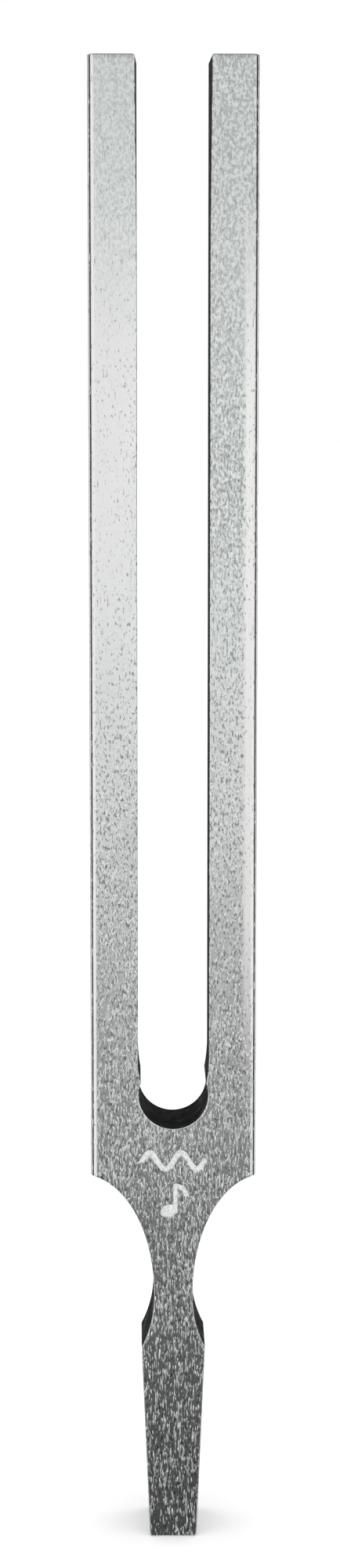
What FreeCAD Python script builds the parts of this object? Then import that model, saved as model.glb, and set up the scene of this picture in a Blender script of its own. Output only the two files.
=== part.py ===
"""Aluminium tuning fork, milled from one length of flat bar.

The fork stands upright on its stem: +Z runs from the foot of the stem to the tips of the tines,
X runs across the two tines and -Y is the marked front face. The origin is the centre of the foot.
All sizes are in millimetres.

The metal is one piece. It is made here as three solids, the stem with its yoke and the two tines,
because the tines swing. Each tine turns on a round root that sits in a round seat in the yoke.
"""
import FreeCAD, Part
import math
import os

from FreeCAD import Vector

# Flat bar that the fork is milled from.
bar_width = 19.6
bar_thickness = 9.6
bar_corner_radius = 0.8
overall_length = 175.3

# Stem: a flat taper that widens upward from the foot.
foot_half_width = 2.78
stem_top_half_width = 3.8
stem_top_height = 23.7
foot_edge_break = 0.25

# Neck: the narrowest place, between a round flare below and an elliptical shoulder above.
neck_half_width = 2.32
flare_radius = 13.3
neck_height = 30.5

# Shoulder: a quarter ellipse about a point just beyond the bar's side, so that it meets the side
# in a crisp corner.
shoulder_centre_x = 10.99
shoulder_rise = 14.5

# Slot between the tines, with a hole drilled through at its root.
hole_radius = 4.1
hole_height = 54.65
slot_half_width = 4.2
run_in_half_width = 3.87
run_in_height = 59.5

# Root of each tine: a round end in a round seat, about an axis along Y.
pivot_height = 64.0
root_radius = 4.2
root_clearance = 0.05

# Tips: a small edge break, and a flat filed across the inner front corner of each tine.
tip_edge_break = 0.2
filed_depth = 0.21
filed_length = 20.0

# Engraved marks on the front face: a wave for the frequency and a quaver for the note.
engraving_depth = 0.12
wave_height = 46.7
wave_length = 3.72
wave_amplitude = 1.0
wave_turns = 2
wave_points_per_turn = 12
wave_stroke = 0.5
note_height = 42.2
note_head_x = -0.55
note_head_radii = (0.95, 0.68)
note_head_tilt = 20.0
note_stem_x = 0.25
note_stem_length = 3.25
note_stroke = 0.45
note_flag_radius = 1.35
note_flag_sweep = 75.0

# How far a cutting solid reaches beyond the metal, so that it never ends on a face of it.
margin = 1.0

# Least Z part of a unit tangent for an edge to count as running along the bar.
lengthwise = 0.99

half_width = bar_width / 2
half_thickness = bar_thickness / 2


def point(x, z):
    """A point of the outline, in the fork's middle plane."""
    return Vector(x, 0, z)


def line(a, b):
    return Part.makeLine(a, b)


def arc(a, middle, b):
    """Circular arc from a to b through a point between them."""
    return Part.Arc(a, middle, b).toShape()


def through(outline, y_from=-half_thickness - margin, y_to=half_thickness + margin):
    """Solid from a closed list of edges, carried along Y from y_from to y_to."""
    face = Part.Face(Part.Wire(outline))
    face.translate(Vector(0, y_from, 0))
    return face.extrude(Vector(0, y_to - y_from, 0))


def mirrored(shape):
    """The same shape on the other side of the fork's middle plane, x = 0."""
    return shape.mirror(Vector(0, 0, 0), Vector(1, 0, 0))


def one_solid(shape):
    """The single solid in a boolean result, with its split faces joined."""
    return shape.removeSplitter().Solids[0]


def bar():
    """The flat bar, with the rounded long edges that it was drawn with."""
    stock = Part.makeBox(
        bar_width, bar_thickness, overall_length, Vector(-half_width, -half_thickness, 0)
    )
    long_edges = [e for e in stock.Edges if abs(e.tangentAt(e.FirstParameter).z) > lengthwise]
    return stock.makeFillet(bar_corner_radius, long_edges)


def pivot_x():
    """Middle of a tine's width, where its pivot is."""
    return (half_width + slot_half_width) / 2


def root_corner_height(radius):
    """Height where a circle about the pivot meets the tine's outer and inner side."""
    return pivot_height - math.sqrt(radius**2 - (half_width - pivot_x()) ** 2)


def cusp_height():
    """Where the slot's run-in meets the drilled hole."""
    return hole_height + math.sqrt(hole_radius**2 - run_in_half_width**2)


def flare_start():
    """Height on the neck where the flare to the stem leaves the vertical."""
    rise = stem_top_half_width - neck_half_width
    return stem_top_height + math.sqrt(flare_radius**2 - (flare_radius - rise) ** 2)


def flare():
    """Round flare from the top of the stem into the neck, upright where it meets the neck."""
    rise = stem_top_half_width - neck_half_width
    half_turn = math.acos((flare_radius - rise) / flare_radius) / 2
    middle = point(
        neck_half_width + flare_radius * (1 - math.cos(half_turn)),
        flare_start() - flare_radius * math.sin(half_turn),
    )
    stem_top = point(stem_top_half_width, stem_top_height)
    return arc(stem_top, middle, point(neck_half_width, flare_start()))


def shoulder_height():
    """Height of the corner where the shoulder's ellipse meets the bar's side."""
    share = (shoulder_centre_x - half_width) / (shoulder_centre_x - neck_half_width)
    return neck_height + shoulder_rise * math.sqrt(1 - share**2)


def shoulder():
    """Part of the ellipse from the top of the neck to the bar's side."""
    neck_top = point(neck_half_width, neck_height)
    ellipse = Part.Ellipse(
        point(shoulder_centre_x, neck_height + shoulder_rise),
        neck_top,
        point(shoulder_centre_x, neck_height),
    )
    corner = point(half_width, shoulder_height())
    first, last = sorted((ellipse.parameter(corner), ellipse.parameter(neck_top)))
    return Part.Edge(ellipse, first, last)


def stem_side():
    """Right edge of the stem, neck and shoulder, from the foot to the shoulder's corner."""
    taper = (stem_top_half_width - foot_half_width) / stem_top_height
    foot = point(foot_half_width - foot_edge_break, 0)
    foot_corner = point(foot_half_width + taper * foot_edge_break, foot_edge_break)
    stem_top = point(stem_top_half_width, stem_top_height)
    return [
        line(foot, foot_corner),
        line(foot_corner, stem_top),
        flare(),
        line(point(neck_half_width, flare_start()), point(neck_half_width, neck_height)),
        shoulder(),
    ]


def run_in():
    """Arc that narrows the slot down to the hole. It leaves the slot's wall without a corner."""
    fall = run_in_height - cusp_height()
    step = slot_half_width - run_in_half_width
    radius = (fall**2 + step**2) / (2 * step)
    half_turn = math.asin(fall / radius) / 2
    middle = point(
        slot_half_width - radius * (1 - math.cos(half_turn)),
        run_in_height - radius * math.sin(half_turn),
    )
    cusp = point(run_in_half_width, cusp_height())
    return arc(point(slot_half_width, run_in_height), middle, cusp)


def prong_side():
    """Right half of the yoke's upper outline, from the shoulder's corner to the drilled hole."""
    radius = root_radius + root_clearance
    lip_height = root_corner_height(radius)
    outer_lip = point(half_width, lip_height)
    inner_lip = point(slot_half_width, lip_height)
    seat_bottom = point(pivot_x(), pivot_height - radius)
    return [
        line(point(half_width, shoulder_height()), outer_lip),
        arc(outer_lip, seat_bottom, inner_lip),
        line(inner_lip, point(slot_half_width, run_in_height)),
        run_in(),
    ]


def yoke_outline():
    """Closed outline of the stem, neck, shoulders and yoke."""
    right = stem_side() + prong_side()
    left = [mirrored(edge) for edge in right]
    foot_line = line(
        point(-foot_half_width + foot_edge_break, 0), point(foot_half_width - foot_edge_break, 0)
    )
    hole = arc(
        point(-run_in_half_width, cusp_height()),
        point(0, hole_height - hole_radius),
        point(run_in_half_width, cusp_height()),
    )
    return Part.__sortEdges__(right + left + [foot_line, hole])


def beside_wave(along, ahead, aside):
    """A point near the wave's middle line: ahead along its tangent, aside along its normal."""
    rate = 2 * math.pi / wave_length
    slope = wave_amplitude * rate * math.cos(rate * along)
    stretch = math.hypot(1, slope)
    x = along + (ahead - aside * slope) / stretch
    z = wave_height + wave_amplitude * math.sin(rate * along) + (ahead * slope + aside) / stretch
    return point(x, z)


def wave_side(aside):
    """One long side of the wave's stroke, as a spline."""
    count = wave_turns * wave_points_per_turn
    half_run = wave_turns * wave_length / 2
    stations = [half_run * (2 * i / count - 1) for i in range(count + 1)]
    side = Part.BSplineCurve()
    side.interpolate([beside_wave(along, 0, aside) for along in stations])
    return side.toShape()


def wave_end(along, ahead):
    """Round end of the wave's stroke."""
    reach = abs(ahead)
    return arc(
        beside_wave(along, 0, reach), beside_wave(along, ahead, 0), beside_wave(along, 0, -reach)
    )


def wave_mark():
    """A sine wave drawn with a stroke of constant width."""
    half_run = wave_turns * wave_length / 2
    reach = wave_stroke / 2
    outline = [
        wave_side(reach),
        wave_side(-reach),
        wave_end(-half_run, -reach),
        wave_end(half_run, reach),
    ]
    return Part.__sortEdges__(outline)


def ring_sector(centre, radius, width, start, end):
    """Closed outline of a curved stroke about centre, between two angles in degrees."""

    def at(r, angle):
        turn = math.radians(angle)
        return point(centre[0] + r * math.cos(turn), centre[1] + r * math.sin(turn))

    inner, outer, middle = radius - width / 2, radius + width / 2, (start + end) / 2
    return [
        arc(at(outer, start), at(outer, middle), at(outer, end)),
        line(at(outer, end), at(inner, end)),
        arc(at(inner, end), at(inner, middle), at(inner, start)),
        line(at(inner, start), at(outer, start)),
    ]


def note_head():
    """Tilted ellipse at the foot of the quaver's stem."""
    major, minor = note_head_radii
    flat = Part.Ellipse(Vector(0, 0, 0), major, minor).toShape()
    flat.rotate(Vector(0, 0, 0), Vector(0, 0, 1), note_head_tilt)
    flat.rotate(Vector(0, 0, 0), Vector(1, 0, 0), 90)
    flat.translate(Vector(note_head_x, 0, note_height - note_stem_length / 2))
    return flat


def note_stem():
    """Upright stroke of the quaver."""
    left, right = note_stem_x - note_stroke / 2, note_stem_x + note_stroke / 2
    low, high = note_height - note_stem_length / 2, note_height + note_stem_length / 2
    corners = [point(left, low), point(right, low), point(right, high), point(left, high)]
    return [line(corners[i - 1], corners[i]) for i in range(len(corners))]


def note_flag():
    """Curved stroke that leaves the top of the quaver's stem and falls to the right."""
    centre_height = note_height + note_stem_length / 2 - note_flag_radius - note_stroke / 2
    centre = (note_stem_x, centre_height)
    return ring_sector(centre, note_flag_radius, note_stroke, 90 - note_flag_sweep, 90)


def engraved(outline):
    """Solid that cuts one closed outline into the front face."""
    return through(outline, -half_thickness - margin, -half_thickness + engraving_depth)


def stem_and_yoke():
    """Everything below the tines: foot, stem, neck, shoulders and the drilled yoke."""
    body = bar().common(through(yoke_outline()))
    marks = [wave_mark(), [note_head()], note_stem(), note_flag()]
    return one_solid(body.cut([engraved(outline) for outline in marks]))


def tine_outline():
    """Closed outline of the right tine, from its round root to its tip."""
    root_height = root_corner_height(root_radius)
    outer_root = point(half_width, root_height)
    inner_root = point(slot_half_width, root_height)
    break_height = overall_length - tip_edge_break
    corners = [
        outer_root,
        point(half_width, break_height),
        point(half_width - tip_edge_break, overall_length),
        point(slot_half_width + tip_edge_break, overall_length),
        point(slot_half_width, break_height),
        inner_root,
    ]
    edges = [line(a, b) for a, b in zip(corners, corners[1:])]
    edges.append(arc(inner_root, point(pivot_x(), pivot_height - root_radius), outer_root))
    return edges


def filed_flat():
    """Thick disc whose lower face is the plane filed across the right tine's inner front corner.

    The plane runs out at the tip's inner back corner and down the inner front edge.
    """
    front_of_tip = Vector(slot_half_width + filed_depth, -half_thickness, overall_length)
    back_of_tip = Vector(slot_half_width, half_thickness, overall_length)
    run_out = Vector(slot_half_width, -half_thickness, overall_length - filed_length)
    normal = (back_of_tip - front_of_tip).cross(run_out - front_of_tip)
    if normal.x > 0:
        normal = -normal
    return Part.makeCylinder(filed_length * 2, margin, front_of_tip, normal)


def right_tine():
    """The tine on the +X side."""
    blank = bar().common(through(tine_outline()))
    return one_solid(blank.cut(filed_flat()))


def check(name, shape):
    """Prints a solid's size, so that a bad boolean shows at once."""
    box = shape.BoundBox
    size = f"{box.XLength:.2f} x {box.YLength:.2f} x {box.ZLength:.2f} mm"
    print(f"{name}: valid {shape.isValid()}, {len(shape.Faces)} faces, {size}, {shape.Volume:.0f} mm3")


def main():
    os.makedirs("parts", exist_ok=True)
    tine = right_tine()
    nodes = {
        "stem_and_yoke": stem_and_yoke(),
        "left_tine": mirrored(tine),
        "right_tine": tine,
    }
    for name, shape in nodes.items():
        check(name, shape)
        shape.exportStep(f"parts/{name}.step")


main()
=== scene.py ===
import math

import bmesh
import bpy
import numpy as np
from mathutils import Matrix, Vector


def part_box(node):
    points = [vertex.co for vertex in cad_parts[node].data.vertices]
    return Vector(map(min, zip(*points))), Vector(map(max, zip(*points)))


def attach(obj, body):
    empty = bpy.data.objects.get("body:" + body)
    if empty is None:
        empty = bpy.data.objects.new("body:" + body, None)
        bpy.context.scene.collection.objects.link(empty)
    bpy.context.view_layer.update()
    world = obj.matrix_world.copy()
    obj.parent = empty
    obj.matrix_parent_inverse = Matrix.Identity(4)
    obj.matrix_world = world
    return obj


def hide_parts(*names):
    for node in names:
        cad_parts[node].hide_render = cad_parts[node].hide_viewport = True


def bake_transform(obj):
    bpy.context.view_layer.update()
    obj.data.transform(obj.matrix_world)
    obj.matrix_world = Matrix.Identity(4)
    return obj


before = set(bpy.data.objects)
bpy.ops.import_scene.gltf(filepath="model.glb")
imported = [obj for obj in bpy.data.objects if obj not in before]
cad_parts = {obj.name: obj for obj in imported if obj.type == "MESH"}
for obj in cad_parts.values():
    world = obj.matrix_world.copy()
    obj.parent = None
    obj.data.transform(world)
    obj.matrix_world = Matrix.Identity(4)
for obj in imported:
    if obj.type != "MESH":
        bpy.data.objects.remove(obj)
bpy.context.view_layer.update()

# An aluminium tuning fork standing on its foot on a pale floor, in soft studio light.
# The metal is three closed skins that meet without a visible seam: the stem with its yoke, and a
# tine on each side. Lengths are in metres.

MM = 0.001

# Sizes read from the frame.
TINE_LOW, TINE_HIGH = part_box("right_tine")
YOKE_LOW, YOKE_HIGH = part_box("stem_and_yoke")
SLOT_HALF = TINE_LOW.x
HALF_WIDTH = TINE_HIGH.x
HALF_THICK = YOKE_HIGH.y
TIP = TINE_HIGH.z
SPLIT = YOKE_HIGH.z

# Sizes of the milled outline.
CORNER_RADIUS = 0.8 * MM
EDGE_BREAK = 0.13 * MM
FOOT_HALF, FOOT_BREAK = 2.78 * MM, 0.25 * MM
STEM_TOP_HALF, STEM_TOP = 3.8 * MM, 23.7 * MM
NECK_HALF, NECK_TOP, FLARE_RADIUS = 2.32 * MM, 30.5 * MM, 13.3 * MM
SHOULDER_CENTRE, SHOULDER_RISE = 10.99 * MM, 14.5 * MM
HOLE_RADIUS, HOLE_HEIGHT = 4.1 * MM, 54.65 * MM
RUN_IN_HALF, RUN_IN_TOP = 3.87 * MM, 59.5 * MM
TIP_BREAK = 0.2 * MM
FILED_DEPTH, FILED_LENGTH = 0.21 * MM, 20.0 * MM

# How far the faces fall back at the foot's edge for each unit of height, and how far above the split
# a point on each tine's middle line is worked out; the tines themselves stay straight.
FOOT_SLOPE = 0.8
BEND_LENGTH = 50 * MM

# Engraved marks.
MARK_DEPTH, MARK_EDGE = 0.1 * MM, 0.12 * MM
WAVE_HEIGHT, WAVE_LENGTH, WAVE_AMPLITUDE, WAVE_STROKE = 46.7 * MM, 3.72 * MM, 1.0 * MM, 0.5 * MM
NOTE_HEIGHT, NOTE_STEM_X, NOTE_STEM_LENGTH = 42.2 * MM, 0.25 * MM, 3.25 * MM
NOTE_STROKE, NOTE_HEAD_X, NOTE_HEAD_RADII = 0.45 * MM, -0.55 * MM, (0.95 * MM, 0.68 * MM)
NOTE_HEAD_TILT, NOTE_FLAG_RADIUS, NOTE_FLAG_SWEEP = 20.0, 1.35 * MM, 75.0
WAVE_SAMPLES, NOTE_SAMPLES = 240, 60

# The area of the front face that holds every mark. Points further forward than FRONT_SHARE of the
# half thickness are on that face.
MARKS_HALF, MARKS_LOW, MARKS_HIGH = 5 * MM, 39 * MM, 49 * MM
FRONT_SHARE = 0.8

# Steps across the metal's thickness, and across a rounded edge.
WALL_STEPS = 10
ROUND_STEPS = 8
BREAK_STEPS = 3

# Corners of more than this many degrees stay sharp, and points closer than JOIN are one. A row
# that ends within NEAR of the bar's side ends on it.
SHARP_FROM = 38
JOIN = 0.0004 * MM
NEAR = 0.001 * MM

# A face that looks forward or back by less than CUT_BELOW is a cut one, and one that looks up or
# down by less than UPRIGHT_BELOW stands upright.
CUT_BELOW = 0.5
UPRIGHT_BELOW = 0.1

# Zones of the rolled finish: each pair is the place where a zone begins and the place where it is
# full. The strips beside the long edges, which carry a painted highlight, come first.
RIGHT_STRIP_INNER, RIGHT_STRIP_OUTER = (8.0 * MM, 8.5 * MM), (9.45 * MM, 9.25 * MM)
RIGHT_STRIP_LOW, RIGHT_STRIP_HIGH = (50 * MM, 76 * MM), (162 * MM, 136 * MM)
LEFT_STRIP_INNER, LEFT_STRIP_OUTER = (-9.0 * MM, -9.15 * MM), (-9.5 * MM, -9.35 * MM)
MATTE_STRIP = (88 * MM, 126 * MM)
CLEAN_SIDE, CLEAN_CORNER = (-3.0 * MM, -6.4 * MM), (9.2 * MM, 9.4 * MM)
CLEAN_LOW, CLEAN_HIGH = (84 * MM, 128 * MM), (158 * MM, 143 * MM)
DULL_SIDE, DULL_LOW = (0.0, MM), (92 * MM, 128 * MM)
DULL_TIPS, DULL_TIPS_SHARE = (143 * MM, 158 * MM), 0.6
DULL_OFF_STRIP, DULL_PAST_STRIP = (8.8 * MM, 8.0 * MM), (138 * MM, 160 * MM)
SATIN_FROM, SATIN_FULL = -HALF_THICK + 0.5 * MM, -HALF_THICK + 1.1 * MM
# The last zone is where the painted glints lie: pale specks on the stem and yoke.
STEM_ZONE, TIP_ZONE, PAINTED_GLINT_ZONE = (36 * MM, 9 * MM), (140 * MM, 160 * MM), (78 * MM, 48 * MM)

# Grain of the finishes: grains per metre across and along the bar, how much finer detail they
# carry, the pattern's own shift, and the noise values where a grain begins and where it is full.
SHORT_DENTS = ((5400, 1200), 1.0, 0.0, (0.56, 0.70))
LONG_DENTS = ((4900, 640), 1.0, 12.0, (0.57, 0.69))
PITS = ((4400, 1750), 1.0, 31.0, (0.54, 0.64))
MOTTLE = ((3300, 2000), 2.0, 44.0, (0.42, 0.58))
# Painted glints: sparse pale specks that stand in for glints on the stem and yoke.
PAINTED_GLINTS = ((5200, 760), 1.0, 66.0, (0.645, 0.69))
FROST = ((4200, 3600), 1.5, 7.0, (0.32, 0.60))
CLOUD_GRAIN, CLOUD_DETAIL, CLOUD_SHIFT, CLOUD_RANGE = (150, 60), 2.0, 83.0, (0.3, 0.7)
LINE_GRAIN, LINE_DETAIL, LINE_SHIFT = (9000, 110), 2.0, 57.0
NOISE_ROUGHNESS = 0.55

# How much the noise is lowered, so that a grain gets rarer: from cloud to cloud, on clean metal,
# towards the foot and towards the tips.
CLOUD_FEWER = (0.03, -0.02)
CLEAN_FEWER_DENTS, CLEAN_FEWER_PITS = 0.12, 0.085
STEM_FEWER_DENTS, TIP_FEWER_PITS = 0.035, 0.12

# The mottle's least strength, the depth of a dent and the share of it that the drawn lines have.
MOTTLE_LEAST = 0.15
DENT_DEPTH, LINE_SHARE = 0.026 * MM, 0.12

# Roughness of the polished and of the roughest metal, and how near the second a dent and the satin
# come. How little metallic the marks are, and how near that the painted highlight strip and the
# painted glints come.
POLISHED, ROUGHEST = 0.17, 0.56
DENT_ROUGH, SATIN_ROUGH = 0.3, 0.85
LEAST_METALLIC = 0.15
STRIP_MATTE, PAINTED_GLINT_MATTE = (0.7, 0.1), 0.8

# Colours of the rolled metal, of its marks and of the milled metal.
METAL_GREY, METAL_PALE = (0.76, 0.79, 0.775, 1), (0.84, 0.865, 0.85, 1)
CLEAN_METAL, DULL_METAL = (0.775, 0.77, 0.775, 1), (0.50, 0.53, 0.52, 1)
# The next two colours are painted light: a pale painted highlight for the strips beside the long edges,
# and pale painted glints.
PAINTED_HIGHLIGHT_METAL, PAINTED_GLINT_METAL = (0.83, 0.83, 0.82, 1), (0.93, 0.94, 0.93, 1)
PITTED_METAL = (0.36, 0.38, 0.37, 1)
MARK_GREY, MARK_WHITE = (0.62, 0.64, 0.63, 1), (0.90, 0.91, 0.90, 1)
# The milled colours are darker than the rolled ones: partly the cut faces' own finish, partly painted
# shade for the shade on the slot walls, the hole and the flares.
MILLED_SHADE_DARK, MILLED_SHADE_PALE = (0.30, 0.325, 0.305, 1), (0.48, 0.50, 0.485, 1)

# Milled finish: grain of the tool marks in X, Y and Z and of the stains, how much of the tone each
# gives, the noise values of its darkest and palest tone, and its bump and roughness.
TOOL_GRAIN, TOOL_DETAIL, TOOL_SHARE = (3200, 130, 3200), 2.0, 0.6
STAIN_GRAIN, STAIN_DETAIL, STAIN_SHIFT, STAIN_SHARE = (700, 500), 2.0, 11.0, 0.4
MILLED_TONES = (0.35, 0.65)
TOOL_BUMP, TOOL_DEPTH = 0.3, 0.004 * MM
MILLED_ROUGHNESS = (0.18, 0.28)

# Camera: lens and sensor in its own millimetres, where it stands and what it looks at.
LENS, SENSOR = 68.4, 36.0
NEAREST, FARTHEST = 0.01, 50.0
EYE = (-4.5 * MM, -HALF_THICK - 345 * MM, 139 * MM)
AIM = (-0.4 * MM, -HALF_THICK, 91.9 * MM)

# Floor and the light on it.
FLOOR_HALF, FLOOR_COLOUR, FLOOR_ROUGHNESS = 6.0, (0.9, 0.9, 0.9, 1), 0.9
FLOOR_LIGHT, FLOOR_LIGHT_SPREAD = 2.6, 70

# Studio light by direction. Heights run from -1, straight down, to 1, straight up, and turns from
# 0, in front of the fork, to 1, behind it. Each stop is a height or a turn, and the light there.
TALL_LIGHT = [
    (-1.0, 0.025), (-0.41, 0.025), (-0.36, 0.036), (-0.3, 0.08), (-0.25, 0.18), (-0.2, 0.40),
    (-0.16, 0.56), (-0.12, 0.72), (-0.07, 0.86), (0.0, 0.88), (0.05, 0.76), (0.1, 0.64),
    (0.3, 0.4), (1.0, 0.4),
]
RING_LIGHT = [
    (0.0, 0.8), (0.36, 0.8), (0.4, 0.05), (0.57, 0.05), (0.62, 0.78), (0.78, 0.78),
    (0.83, 0.012), (1.0, 0.012),
]
RING_DIMS, RING_LEAST, TALL_LIGHT_REACH = (-0.38, -0.28), 0.5, (0.10, 0.17)
OVERHEAD, OVERHEAD_LIGHT = (0.5, 0.8), 0.4
UNDERFOOT, UNDERFOOT_LIGHT = (-0.48, -0.6), 0.5
STUDIO_LIGHT, WHITE = 1.25, 1.0


def bar_drop(x):
    """How far the bar's face falls back near its rounded long edge: a quarter circle in x."""
    past = np.clip(np.abs(x) - (HALF_WIDTH - CORNER_RADIUS), 0, CORNER_RADIUS)
    return CORNER_RADIUS - np.sqrt(CORNER_RADIUS**2 - past**2)


def edge_drop(distance, radius):
    """How far a face falls back near an edge: a quarter circle of that radius at the edge."""
    short = np.clip(1 - distance / radius, 0, 1)
    return radius * (1 - np.sqrt(1 - short**2))


def quarter(steps):
    """Distances from an edge, as shares of its radius, at even angles of a quarter circle."""
    return 1 - np.cos(np.linspace(0, math.pi / 2, steps + 1))


# ---- marks -------------------------------------------------------------------------------------


def stroke_distance(points, line, half):
    """Distance from each point to the nearest sample of a line, less half the stroke's width."""
    gaps = points[:, None, :] - line[None, :, :]
    return np.sqrt((gaps**2).sum(2).min(1)) - half


def wave_line():
    """Two turns of a sine wave, sampled evenly in x."""
    along = np.linspace(-WAVE_LENGTH, WAVE_LENGTH, WAVE_SAMPLES)
    up = WAVE_HEIGHT + WAVE_AMPLITUDE * np.sin(2 * np.pi * along / WAVE_LENGTH)
    return np.stack([along, up], 1)


def note_lines():
    """The quaver's upright stem, a straight run, and its flag, a part of a circle."""
    low = NOTE_HEIGHT - NOTE_STEM_LENGTH / 2
    high = NOTE_HEIGHT + NOTE_STEM_LENGTH / 2 - NOTE_STROKE / 2
    rise = np.linspace(low, high, NOTE_SAMPLES)
    stem = np.stack([np.full_like(rise, NOTE_STEM_X), rise], 1)
    turn = np.radians(np.linspace(90, 90 - NOTE_FLAG_SWEEP, NOTE_SAMPLES))
    centre = np.array([NOTE_STEM_X, high - NOTE_FLAG_RADIUS])
    flag = centre + NOTE_FLAG_RADIUS * np.stack([np.cos(turn), np.sin(turn)], 1)
    return np.concatenate([stem, flag])


def note_head_distance(points):
    """Rough distance to a tilted ellipse: its level value times its shorter radius."""
    tilt = math.radians(NOTE_HEAD_TILT)
    x = points[:, 0] - NOTE_HEAD_X
    z = points[:, 1] - (NOTE_HEIGHT - NOTE_STEM_LENGTH / 2)
    along = x * math.cos(tilt) + z * math.sin(tilt)
    across = z * math.cos(tilt) - x * math.sin(tilt)
    level = np.sqrt((along / NOTE_HEAD_RADII[0]) ** 2 + (across / NOTE_HEAD_RADII[1]) ** 2)
    return (level - 1) * NOTE_HEAD_RADII[1]


def mark_strength(x, z):
    """1 inside an engraved stroke, 0 outside, with a smooth step of MARK_EDGE between."""
    points = np.stack([x.ravel(), z.ravel()], 1)
    near = (np.abs(points[:, 0]) < MARKS_HALF) & (points[:, 1] > MARKS_LOW) & (points[:, 1] < MARKS_HIGH)
    strength = np.zeros(len(points))
    inside = points[near]
    distance = np.minimum.reduce([
        stroke_distance(inside, wave_line(), WAVE_STROKE / 2),
        stroke_distance(inside, note_lines(), NOTE_STROKE / 2),
        note_head_distance(inside),
    ])
    share = np.clip(0.5 - distance / MARK_EDGE, 0, 1)
    strength[near] = share * share * (3 - 2 * share)
    return strength.reshape(x.shape)


# ---- skins -------------------------------------------------------------------------------------


def lerp(a, b, share):
    """Straight line from a to b, with share as a new first axis."""
    share = np.asarray(share).reshape((-1,) + (1,) * a.ndim)
    return a + (b - a) * share


def grid_faces(first, rows, columns, closed):
    """Quads of a grid of vertices numbered row by row, wrapped round in columns if closed."""
    r, c = np.meshgrid(np.arange(rows - 1), np.arange(columns if closed else columns - 1), indexing="ij")
    ahead = (c + 1) % columns
    low, high = r * columns, (r + 1) * columns
    return np.stack([low + c, low + ahead, high + ahead, high + c], -1) + first


def skin(name, front, back, inner_wall_rows, wall_x=None, both_sides=False):
    """Closed skin round a plate.

    front and back are grids of points, one row per station along the metal and one column per
    place from its inner to its outer edge. Each row becomes a loop: across the front, straight
    through the thickness at the outer edge, back across the rear, and straight through at the
    inner edge. The first and last loops are closed by straight lines from front to rear.
    inner_wall_rows says between which rows there is metal to close at the inner edge. wall_x
    moves that inner wall sideways. With both_sides the mirror image in x is joined on.
    """
    rows, columns = front.shape[:2]
    through = np.linspace(0, 1, WALL_STEPS + 1)[1:-1]
    outer = np.moveaxis(lerp(front[:, -1], back[:, -1], through), 0, 1)
    inner = np.moveaxis(lerp(back[:, 0], front[:, 0], through), 0, 1)
    if wall_x is not None:
        inner[..., 0] = wall_x(inner[..., 1], inner[..., 2])
    loop = np.concatenate([front, outer, back[:, ::-1], inner], 1)
    size = loop.shape[1]
    quads = grid_faces(0, rows, size, True)
    keep = np.ones(quads.shape[:2], bool)
    keep[:, 2 * columns + WALL_STEPS - 2:] = inner_wall_rows[:, None]
    points = [loop.reshape(-1, 3)]
    faces = [quads[keep]]
    count = rows * size
    for row in (0, rows - 1):
        lid = lerp(front[row], back[row], np.linspace(0, 1, WALL_STEPS + 1))
        if wall_x is not None:
            lid[1:-1, 0] = inner[row, ::-1]
        faces.append(grid_faces(count, WALL_STEPS + 1, columns, False).reshape(-1, 4))
        points.append(lid.reshape(-1, 3))
        count += (WALL_STEPS + 1) * columns
    points = np.concatenate(points)
    faces = np.concatenate(faces)
    if both_sides:
        faces = np.concatenate([faces, faces[:, ::-1] + len(points)])
        points = np.concatenate([points, points * (-1, 1, 1)])
    used, faces = np.unique(faces, return_inverse=True)
    points = points[used]
    mesh = bpy.data.meshes.new(name)
    mesh.from_pydata(points.tolist(), [], faces.reshape(-1, 4).tolist())
    return finish_skin(name, mesh)


def finish_skin(name, mesh):
    """Joins coinciding points, points the faces outwards and keeps only real corners sharp."""
    work = bmesh.new()
    work.from_mesh(mesh)
    bmesh.ops.remove_doubles(work, verts=work.verts, dist=JOIN)
    bmesh.ops.dissolve_degenerate(work, edges=work.edges, dist=JOIN)
    bmesh.ops.recalc_face_normals(work, faces=work.faces)
    work.to_mesh(mesh)
    work.free()
    press_marks(mesh)
    mesh.polygons.foreach_set("use_smooth", np.ones(len(mesh.polygons), bool))
    mesh.set_sharp_from_angle(angle=math.radians(SHARP_FROM))
    piece = bpy.data.objects.new(name, mesh)
    bpy.context.scene.collection.objects.link(piece)
    return piece


def press_marks(mesh):
    """Moves the front face back by MARK_DEPTH times the mark's strength, and keeps the strength."""
    places = np.empty(len(mesh.vertices) * 3, np.float32)
    mesh.vertices.foreach_get("co", places)
    places = places.reshape(-1, 3).astype(float)
    on_front = places[:, 1] < -FRONT_SHARE * HALF_THICK
    strength = mark_strength(places[:, 0], places[:, 2]) * on_front
    places[:, 1] += MARK_DEPTH * strength
    mesh.vertices.foreach_set("co", places.astype(np.float32).ravel())
    mark = mesh.attributes.new("mark", "FLOAT", "POINT")
    mark.data.foreach_set("value", strength.astype(np.float32))
    mesh.update()


def across(inner, outer, first_reach, last_reach, fine):
    """Points from inner to outer edge of each row, and each point's distance from both edges.

    They are closest together at the two edges, where they follow a quarter circle of
    first_reach and last_reach. fine gives the shares of the stretch between.
    """
    run = outer - inner
    length = np.sqrt((run**2).sum(1))[:, None]
    first = np.repeat(first_reach * quarter(BREAK_STEPS)[None, :], len(run), 0)
    last = length - last_reach * quarter(ROUND_STEPS)[None, ::-1]
    middle = first[:, -1:] + (last[:, :1] - first[:, -1:]) * fine[None, :]
    reach = np.concatenate([first, middle, last], 1)
    points = inner[:, None, :] + run[:, None, :] * (reach / length)[..., None]
    return points, reach, length - reach


# ---- stem and yoke -----------------------------------------------------------------------------


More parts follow.
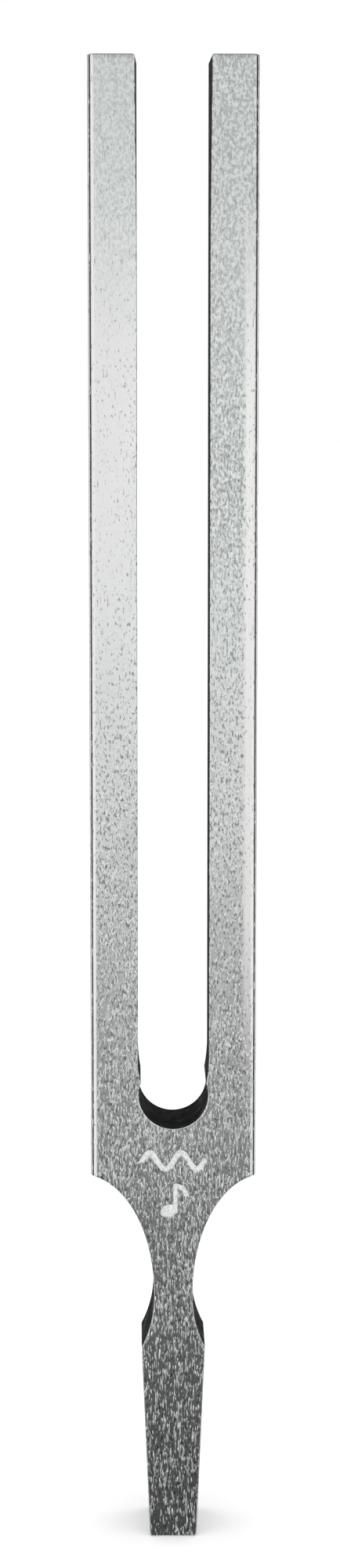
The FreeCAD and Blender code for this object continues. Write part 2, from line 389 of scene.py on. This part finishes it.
def yoke_stations():
    """Inner and outer end of each row of the right half, from the split down to the foot.

    The inner end runs down the slot's wall, round the run-in arc and the drilled hole to the
    middle plane, and down that plane. The outer end runs down the bar's side, along the
    shoulder's ellipse, the neck, the flare's arc and the straight taper of the stem.
    """
    cusp = HOLE_HEIGHT + math.sqrt(HOLE_RADIUS**2 - RUN_IN_HALF**2)
    fall, step = RUN_IN_TOP - cusp, SLOT_HALF - RUN_IN_HALF
    run_in_radius = (fall**2 + step**2) / (2 * step)
    share = (SHOULDER_CENTRE - HALF_WIDTH) / (SHOULDER_CENTRE - NECK_HALF)
    shoulder = NECK_TOP + SHOULDER_RISE * math.sqrt(1 - share**2)
    rise = STEM_TOP_HALF - NECK_HALF
    flare_turn = math.acos((FLARE_RADIUS - rise) / FLARE_RADIUS)
    flare_start = STEM_TOP + FLARE_RADIUS * math.sin(flare_turn)
    taper = (STEM_TOP_HALF - FOOT_HALF) / STEM_TOP
    # Heights on the bar's side that the rows from the cusp and from the hole's foot run to, and
    # the height on the middle plane that the row from the shoulder's corner runs to.
    side_of_cusp, side_of_hole, middle_of_shoulder = 56.6 * MM, 47.0 * MM, 48.6 * MM
    # Rows in each stretch, from the split down to the foot. They are closest from the shoulder's
    # corner down to past_marks, a share of the shoulder, where the marks are.
    wall_rows, run_in_rows, hole_rows, middle_rows = 4, 12, 44, 22
    marks_rows, neck_rows, flare_rows, stem_rows, foot_rows = 130, 26, 14, 30, 3
    past_marks = 0.55

    def rows(inner_x, inner_z, outer_x, outer_z):
        a, b, c, d = np.broadcast_arrays(inner_x, inner_z, outer_x, outer_z)
        return np.stack([a, b], 1), np.stack([c, d], 1)

    def steps(a, b, n):
        return np.linspace(a, b, n)

    parts = []
    z = steps(SPLIT, RUN_IN_TOP, wall_rows)
    parts.append(rows(SLOT_HALF, z, HALF_WIDTH, z))
    turn = steps(0, math.asin(fall / run_in_radius), run_in_rows)[1:]
    parts.append(rows(
        SLOT_HALF - run_in_radius * (1 - np.cos(turn)),
        RUN_IN_TOP - run_in_radius * np.sin(turn),
        HALF_WIDTH,
        steps(RUN_IN_TOP, side_of_cusp, run_in_rows)[1:],
    ))
    turn = steps(math.atan2(cusp - HOLE_HEIGHT, RUN_IN_HALF), -math.pi / 2, hole_rows)[1:]
    parts.append(rows(
        HOLE_RADIUS * np.cos(turn),
        HOLE_HEIGHT + HOLE_RADIUS * np.sin(turn),
        HALF_WIDTH,
        steps(side_of_cusp, side_of_hole, hole_rows)[1:],
    ))
    slot_rows = sum(len(p[0]) for p in parts)
    parts[-1][0][-1, 0] = 0
    parts.append(rows(
        0,
        steps(HOLE_HEIGHT - HOLE_RADIUS, middle_of_shoulder, middle_rows)[1:],
        HALF_WIDTH,
        steps(side_of_hole, shoulder, middle_rows)[1:],
    ))
    first = math.acos(share)
    blend = np.concatenate([steps(0, past_marks, marks_rows)[1:], steps(past_marks, 1, neck_rows)[1:]])
    turn = first * (1 - blend)
    parts.append(rows(
        0,
        middle_of_shoulder + (NECK_TOP - middle_of_shoulder) * blend,
        SHOULDER_CENTRE - (SHOULDER_CENTRE - NECK_HALF) * np.cos(turn),
        NECK_TOP + SHOULDER_RISE * np.sin(turn),
    ))
    parts.append(rows(0, flare_start, NECK_HALF, np.array([flare_start])))
    turn = steps(0, flare_turn, flare_rows)[1:]
    z = flare_start - FLARE_RADIUS * np.sin(turn)
    parts.append(rows(0, z, NECK_HALF + FLARE_RADIUS * (1 - np.cos(turn)), z))
    z = steps(STEM_TOP, FOOT_BREAK, stem_rows)[1:]
    parts.append(rows(0, z, FOOT_HALF + taper * z, z))
    z = steps(FOOT_BREAK, 0, foot_rows)[1:]
    parts.append(rows(0, z, FOOT_HALF - FOOT_BREAK + z, z))
    inner = np.concatenate([p[0] for p in parts])
    outer = np.concatenate([p[1] for p in parts])
    on_side = outer[:, 0] > HALF_WIDTH - NEAR
    return inner, outer, slot_rows, on_side


def stem_and_yoke():
    """Skin of everything below the tines, with its points closest on the share that has the marks."""
    inner, outer, slot_rows, on_side = yoke_stations()
    marked_share, marked_points, plain_points = 0.43, 48, 14
    marked = np.linspace(0, marked_share, marked_points)[1:]
    fine = np.concatenate([marked, np.linspace(marked_share, 1, plain_points)[1:-1]])
    last_reach = np.where(on_side, CORNER_RADIUS, EDGE_BREAK)[:, None]
    points, from_inner, from_outer = across(inner, outer, EDGE_BREAK, last_reach, fine)
    x, z = points[..., 0], points[..., 1]
    has_wall = np.arange(len(inner)) < slot_rows
    drop = bar_drop(x)
    drop += np.where(has_wall[:, None], edge_drop(from_inner, EDGE_BREAK), 0)
    drop += np.where(on_side[:, None], 0, edge_drop(from_outer, EDGE_BREAK))
    drop += np.clip(FOOT_BREAK / 2 - z, 0, None) * FOOT_SLOPE
    front = np.stack([x, drop - HALF_THICK, z], -1)
    back = np.stack([x, HALF_THICK - drop, z], -1)
    walls = np.arange(len(inner) - 1) < slot_rows - 1
    return skin("stem_and_yoke_metal", front, back, walls, both_sides=True)


# ---- tines -------------------------------------------------------------------------------------


def filed(y, z):
    """Sideways depth of the plane filed across the inner front corner near the tip."""
    share = 1 - (y + HALF_THICK) / (2 * HALF_THICK) - (TIP - z) / FILED_LENGTH
    return FILED_DEPTH * np.clip(share, 0, 1)


def tine(name, side):
    """Skin of one tine: the bar's section carried straight up, with a broken edge at the tip.

    It is worked out for the right tine, and mirrored in x for the left one.
    """
    plain_rows, filed_rows, tip_rows, columns = 70, 40, 4, 12
    z = np.concatenate([
        np.linspace(SPLIT, TIP - FILED_LENGTH, plain_rows),
        np.linspace(TIP - FILED_LENGTH, TIP - TIP_BREAK, filed_rows)[1:],
        np.linspace(TIP - TIP_BREAK, TIP, tip_rows)[1:],
    ])
    tuck = np.clip(z - (TIP - TIP_BREAK), 0, None)
    tuck = TIP_BREAK - np.sqrt(np.clip(TIP_BREAK**2 - tuck**2, 0, None))
    inner_x = SLOT_HALF + filed(-HALF_THICK, z) + tuck
    inner = np.stack([inner_x, z], 1)
    outer = np.stack([HALF_WIDTH - tuck, z], 1)
    fine = np.linspace(0, 1, columns)[1:-1]
    points, from_inner, _ = across(inner, outer, EDGE_BREAK, CORNER_RADIUS, fine)
    level = points[..., 1]
    drop = bar_drop(points[..., 0] + tuck[:, None]) + edge_drop(from_inner, EDGE_BREAK)
    drop += tuck[:, None]
    front = np.stack([points[..., 0], -HALF_THICK + drop, level], -1)
    back = front * (1, -1, 1)
    ease = np.clip(1 - from_inner / CORNER_RADIUS, 0, 1)
    back[..., 0] -= (filed(-HALF_THICK, z) - filed(HALF_THICK, z))[:, None] * ease

    def wall_x(y, height):
        return SLOT_HALF + filed(y, height) + np.interp(height, z, tuck)

    piece = skin(name, front, back, np.ones(len(z) - 1, bool), wall_x)
    if side < 0:
        piece.data.transform(((-1, 0, 0, 0), (0, 1, 0, 0), (0, 0, 1, 0), (0, 0, 0, 1)))
        piece.data.flip_normals()
    return piece


# ---- finish ------------------------------------------------------------------------------------


class Nodes:
    """Short way to write a node tree: each call adds one node and links its inputs."""

    def __init__(self, tree):
        self.tree = tree
        tree.nodes.clear()

    def add(self, kind, inputs=(), **settings):
        node = self.tree.nodes.new(kind)
        for key, value in settings.items():
            setattr(node, key, value)
        for key, value in dict(inputs).items():
            if isinstance(value, bpy.types.NodeSocket):
                self.tree.links.new(value, node.inputs[key])
            else:
                node.inputs[key].default_value = value
        return node

    def noise(self, place, grain, detail, shift):
        """Noise stretched along Z, with grain as grains per metre across and along."""
        wide, tall = grain
        moved = self.add("ShaderNodeMapping", {"Vector": place, "Location": (shift, 0, 0),
                                               "Scale": (wide, wide, tall)})
        made = self.add("ShaderNodeTexNoise", {"Vector": moved.outputs[0], "Scale": 1.0,
                                               "Detail": detail, "Roughness": NOISE_ROUGHNESS})
        return made.outputs["Fac"]

    def ramp(self, value, low, high, out_low=0.0, out_high=1.0):
        made = self.add("ShaderNodeMapRange", {"Value": value, "From Min": low, "From Max": high,
                                               "To Min": out_low, "To Max": out_high})
        return made.outputs[0]

    def math(self, operation, a, b):
        return self.add("ShaderNodeMath", {0: a, 1: b}, operation=operation).outputs[0]

    def times(self, a, b):
        return self.math("MULTIPLY", a, b)

    def larger(self, a, b):
        return self.math("MAXIMUM", a, b)

    def grains(self, place, kind, fewer=0.0, least=0.0):
        """1 on the grains of one kind, and least between them. They get rarer as fewer grows."""
        grain, detail, shift, (begin, full) = kind
        level = self.math("SUBTRACT", self.noise(place, grain, detail, shift), fewer)
        return self.ramp(level, begin, full, least, 1.0)


def mix_colours(nodes, share, a, b):
    """Colour mix: the node's colour sockets are reached by number, since three share a name."""
    made = nodes.add("ShaderNodeMix", {0: share}, data_type="RGBA")
    for socket, value in ((made.inputs[6], a), (made.inputs[7], b)):
        if isinstance(value, bpy.types.NodeSocket):
            nodes.tree.links.new(value, socket)
        else:
            socket.default_value = value
    return made.outputs[2]


def mix_values(nodes, share, a, b):
    """Value mix: the node's value sockets are reached by number, since three share a name."""
    return nodes.add("ShaderNodeMix", {0: share, 2: a, 3: b}).outputs[0]


def painted_highlight_strip(n, x, z):
    """1 on the strip beside each long edge that carries a painted highlight: a pale, matte colour
    that stands in for the light the rounded edge catches.

    The right strip is the wider one, and fades out before the tip. Both stop short of the
    rounded corner itself.
    """
    wide = n.times(n.ramp(x, *RIGHT_STRIP_INNER), n.ramp(x, *RIGHT_STRIP_OUTER))
    along = n.times(n.ramp(z, *RIGHT_STRIP_LOW), n.ramp(z, *RIGHT_STRIP_HIGH))
    left = n.times(n.ramp(x, *LEFT_STRIP_INNER), n.ramp(x, *LEFT_STRIP_OUTER))
    return n.larger(n.times(wide, along), left)


def cleanness(n, x, z, strip):
    """1 where the metal carries few flecks: the middle of the left tine, the edge strips, and
    the rounded corners and sides.

    The clean stretch fades in and out along the tine.
    """
    along = n.times(n.ramp(z, *CLEAN_LOW), n.ramp(z, *CLEAN_HIGH))
    middle_of_left = n.times(n.ramp(x, *CLEAN_SIDE), along)
    corner = n.ramp(n.math("ABSOLUTE", x, 0.0), *CLEAN_CORNER)
    return n.larger(middle_of_left, n.larger(strip, corner))


def dullness(n, x, z):
    """1 where a fine grey mottle dulls the metal: the right tine's upper half, and both tips.

    It keeps off the right edge strip, and reaches the edge only where the strip has faded out.
    """
    on_right = n.times(n.ramp(x, *DULL_SIDE), n.ramp(z, *DULL_LOW))
    tips = n.times(n.ramp(z, *DULL_TIPS), DULL_TIPS_SHARE)
    off_strip = n.larger(n.ramp(x, *DULL_OFF_STRIP), n.ramp(z, *DULL_PAST_STRIP))
    return n.times(n.larger(on_right, tips), off_strip)


def metal_height(n, place, dents):
    """Height for the bump: the dents, with faint lines along the bar over everything."""
    lines = n.noise(place, LINE_GRAIN, LINE_DETAIL, LINE_SHIFT)
    return n.math("ADD", dents, n.times(lines, LINE_SHARE))


def rolled_metal():
    """Rolled face of the bar: smooth metal with fine dents and darker pits drawn out along it.

    A dent's slopes mirror the lights beside the fork, so the dents stand out pale where the
    metal round them mirrors the dim ground and vanish where it mirrors the bright front light.
    Pits hold little light anywhere, and fade out towards the tips. Where the metal is cleaner,
    only the strongest of both are left, and the metal is a plain light grey. A mottle of
    darker grey lies over the duller parts. Only the marked front face is polished: the sides
    and the back are satin. Sparse pale, matte specks on the stem and yoke are painted glints,
    and the strips beside the long edges carry a pale, matte painted highlight. Engraved
    strokes are a pale, rough white.
    """
    material = bpy.data.materials.new("rolled_metal")
    material.use_nodes = True
    n = Nodes(material.node_tree)
    place = n.add("ShaderNodeTexCoord").outputs["Object"]
    x, y, z = n.add("ShaderNodeSeparateXYZ", {0: place}).outputs
    strip = painted_highlight_strip(n, x, z)
    clean = cleanness(n, x, z, strip)
    satin = n.ramp(y, SATIN_FROM, SATIN_FULL)
    cloud = n.noise(place, CLOUD_GRAIN, CLOUD_DETAIL, CLOUD_SHIFT)

    uneven = n.ramp(cloud, *CLOUD_RANGE, *CLOUD_FEWER)
    on_stem = n.ramp(z, *STEM_ZONE, 0.0, STEM_FEWER_DENTS)
    fewer_dents = n.math("ADD", n.times(clean, CLEAN_FEWER_DENTS), n.math("ADD", uneven, on_stem))
    dents = n.larger(n.grains(place, SHORT_DENTS, fewer_dents), n.grains(place, LONG_DENTS, fewer_dents))
    at_tips = n.ramp(z, *TIP_ZONE, 0.0, TIP_FEWER_PITS)
    fewer_pits = n.math("ADD", n.times(clean, CLEAN_FEWER_PITS), n.math("ADD", uneven, at_tips))
    pits = n.grains(place, PITS, fewer_pits)
    dull = n.times(dullness(n, x, z), n.grains(place, MOTTLE, least=MOTTLE_LEAST))
    # Painted glints, on the stem and yoke only.
    painted_glints = n.times(n.grains(place, PAINTED_GLINTS), n.ramp(z, *PAINTED_GLINT_ZONE))
    mark = n.add("ShaderNodeAttribute", attribute_name="mark").outputs["Fac"]

    colour = mix_colours(n, n.ramp(cloud, *CLOUD_RANGE), METAL_GREY, METAL_PALE)
    colour = mix_colours(n, clean, colour, CLEAN_METAL)
    colour = mix_colours(n, dull, colour, DULL_METAL)
    # Painted highlight: pale colour on the strips beside the long edges.
    colour = mix_colours(n, strip, colour, PAINTED_HIGHLIGHT_METAL)
    colour = mix_colours(n, pits, colour, PITTED_METAL)
    # Painted glints: near-white specks.
    colour = mix_colours(n, painted_glints, colour, PAINTED_GLINT_METAL)
    frosted = mix_colours(n, n.grains(place, FROST), MARK_GREY, MARK_WHITE)
    colour = mix_colours(n, mark, colour, frosted)

    height = metal_height(n, place, dents)
    bump = n.add("ShaderNodeBump", {"Height": height, "Strength": 1.0, "Distance": DENT_DEPTH})
    rough = n.larger(n.times(dents, DENT_ROUGH), n.times(satin, SATIN_ROUGH))
    # The painted highlight strip and the painted glints are made matte, so their pale colour stays
    # bright from every side.
    matte_highlight_strip = n.times(strip, n.ramp(z, *MATTE_STRIP, *STRIP_MATTE))
    matte = n.larger(mark, n.larger(matte_highlight_strip, n.times(painted_glints, PAINTED_GLINT_MATTE)))
    shader = n.add("ShaderNodeBsdfPrincipled", {
        "Base Color": colour,
        "Roughness": n.ramp(n.larger(rough, mark), 0.0, 1.0, POLISHED, ROUGHEST),
        "Metallic": n.ramp(matte, 0.0, 1.0, 1.0, LEAST_METALLIC),
        "Normal": bump.outputs[0],
    })
    n.add("ShaderNodeOutputMaterial", {"Surface": shader.outputs[0]})
    return material


def milled_metal_and_shade():
    """Cut edge of the metal: smooth, with fine tool marks that run through the thickness, and
    darker than the rolled face: partly its own finish, partly painted shade for the shade on the
    slot walls, the hole and the flares.
    """
    material = bpy.data.materials.new("milled_metal_and_shade")
    material.use_nodes = True
    n = Nodes(material.node_tree)
    place = n.add("ShaderNodeTexCoord").outputs["Object"]
    drawn = n.add("ShaderNodeMapping", {"Vector": place, "Scale": TOOL_GRAIN}).outputs[0]
    tool_marks = n.add("ShaderNodeTexNoise", {"Vector": drawn, "Scale": 1.0, "Detail": TOOL_DETAIL})
    ridges = tool_marks.outputs["Fac"]
    stain = n.noise(place, STAIN_GRAIN, STAIN_DETAIL, STAIN_SHIFT)
    tone = n.math("ADD", n.times(ridges, TOOL_SHARE), n.times(stain, STAIN_SHARE))
    colour = mix_colours(n, n.ramp(tone, *MILLED_TONES), MILLED_SHADE_DARK, MILLED_SHADE_PALE)
    bump = n.add("ShaderNodeBump", {"Height": ridges, "Strength": TOOL_BUMP, "Distance": TOOL_DEPTH})
    shader = n.add("ShaderNodeBsdfPrincipled", {
        "Base Color": colour,
        "Metallic": 1.0,
        "Roughness": n.ramp(stain, *CLOUD_RANGE, *MILLED_ROUGHNESS),
        "Normal": bump.outputs[0],
    })
    n.add("ShaderNodeOutputMaterial", {"Surface": shader.outputs[0]})
    return material


def give_finish(piece, rolled, milled):
    """Rolled metal on the bar's own faces, its rounded edges and the stem, milled metal elsewhere."""
    mesh = piece.data
    mesh.materials.append(rolled)
    mesh.materials.append(milled)
    count = len(mesh.polygons)
    normals = np.empty(count * 3, np.float32)
    centres = np.empty(count * 3, np.float32)
    mesh.polygons.foreach_get("normal", normals)
    mesh.polygons.foreach_get("center", centres)
    normals, centres = normals.reshape(-1, 3), centres.reshape(-1, 3)
    on_rounding = np.abs(centres[:, 0]) > HALF_WIDTH - CORNER_RADIUS
    looks_out = normals[:, 0] * centres[:, 0] > 0
    bar_side = on_rounding & looks_out & (np.abs(normals[:, 2]) < UPRIGHT_BELOW)
    above_stem = centres[:, 2] > STEM_TOP
    cut = (np.abs(normals[:, 1]) < CUT_BELOW) & ~bar_side & above_stem
    mesh.polygons.foreach_set("material_index", cut.astype(np.int32))


# ---- studio ------------------------------------------------------------------------------------


def camera():
    """Long lens a little above the middle of the fork, looking slightly down."""
    data = bpy.data.cameras.new("camera")
    data.sensor_width = SENSOR
    data.lens = LENS
    data.clip_start, data.clip_end = NEAREST, FARTHEST
    view = bpy.data.objects.new("camera", data)
    view.location = EYE
    view.rotation_euler = (Vector(AIM) - view.location).to_track_quat("-Z", "Y").to_euler()
    bpy.context.scene.collection.objects.link(view)
    bpy.context.scene.camera = view


def floor():
    """Pale floor that the foot stands on."""
    mesh = bpy.data.meshes.new("floor")
    corners = [(-1, -1), (1, -1), (1, 1), (-1, 1)]
    mesh.from_pydata([(FLOOR_HALF * x, FLOOR_HALF * y, 0) for x, y in corners], [], [(0, 1, 2, 3)])
    obj = bpy.data.objects.new("floor", mesh)
    obj.location.z = YOKE_LOW.z
    bpy.context.scene.collection.objects.link(obj)
    material = bpy.data.materials.new("pale_floor")
    material.use_nodes = True
    n = Nodes(material.node_tree)
    looks = {"Base Color": FLOOR_COLOUR, "Roughness": FLOOR_ROUGHNESS}
    shader = n.add("ShaderNodeBsdfPrincipled", looks)
    n.add("ShaderNodeOutputMaterial", {"Surface": shader.outputs[0]})
    mesh.materials.append(material)
    obj.visible_glossy = False


def steps_of_light(nodes, value, stops):
    """Piecewise straight curve through (value, light) stops, for values from -1 to 1."""
    node = nodes.add("ShaderNodeValToRGB", {"Fac": nodes.ramp(value, -1.0, 1.0)})
    elements = node.color_ramp.elements
    while len(elements) < len(stops):
        elements.new(0.5)
    for element, (at, light) in zip(elements, stops):
        element.position = (at + 1) / 2
        element.color = (light, light, light, 1)
    return node.outputs[0]


def surroundings():
    """Soft studio all round, seen only in the metal: what the eye sees behind the fork is white.

    Straight in front is a tall soft light that fades towards the ground. Either side of it
    stands a broad soft light that dims near the ground. The studio is dark beyond those, at the
    sides, and again straight behind, with one more light between on each side. The ground is
    dim in front of the fork and pale underneath it, and overhead is a plain grey.
    """
    world = bpy.data.worlds.new("studio")
    bpy.context.scene.world = world
    world.use_nodes = True
    n = Nodes(world.node_tree)
    direction = n.add("ShaderNodeSeparateXYZ", {0: n.add("ShaderNodeTexCoord").outputs["Generated"]})
    sideways, forward, up = direction.outputs
    half_turn = n.math("ARCTAN2", n.math("ABSOLUTE", sideways, 0.0), n.times(forward, -1.0))
    around = n.math("DIVIDE", half_turn, math.pi)
    ring = n.times(steps_of_light(n, around, RING_LIGHT), n.ramp(up, *RING_DIMS, RING_LEAST, 1.0))
    in_front = n.ramp(around, *TALL_LIGHT_REACH, 1.0, 0.0)
    level = mix_values(n, in_front, ring, steps_of_light(n, up, TALL_LIGHT))
    level = mix_values(n, n.ramp(up, *OVERHEAD), level, OVERHEAD_LIGHT)
    level = mix_values(n, n.ramp(up, *UNDERFOOT), level, UNDERFOOT_LIGHT)
    camera_ray = n.add("ShaderNodeLightPath").outputs["Is Camera Ray"]
    level = mix_values(n, camera_ray, n.times(level, STUDIO_LIGHT), WHITE)
    shine = n.add("ShaderNodeBackground", {"Color": (1, 1, 1, 1), "Strength": level})
    n.add("ShaderNodeOutputWorld", {"Surface": shine.outputs[0]})


def floor_light():
    """Broad light straight down, which evens the floor out and leaves the metal's reflections."""
    data = bpy.data.lights.new("floor_light", "SUN")
    data.energy = FLOOR_LIGHT
    data.angle = math.radians(FLOOR_LIGHT_SPREAD)
    obj = bpy.data.objects.new("floor_light", data)
    obj.visible_glossy = False
    bpy.context.scene.collection.objects.link(obj)


camera()
rolled, milled = rolled_metal(), milled_metal_and_shade()
middle = (HALF_WIDTH + SLOT_HALF) / 2
yoke_piece = stem_and_yoke()
give_finish(yoke_piece, rolled, milled)
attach(yoke_piece, "stem")
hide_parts("stem_and_yoke")
for body, side in (("left_tine", -1), ("right_tine", 1)):
    piece = tine(body + "_metal", side)
    give_finish(piece, rolled, milled)
    root, bent = (side * middle, 0, SPLIT), (side * middle, 0, SPLIT + BEND_LENGTH)
    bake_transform(piece)
    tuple(root)
    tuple(bent)
    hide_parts(body)

floor()
surroundings()
floor_light()
bpy.context.scene.view_settings.view_transform = "Standard"
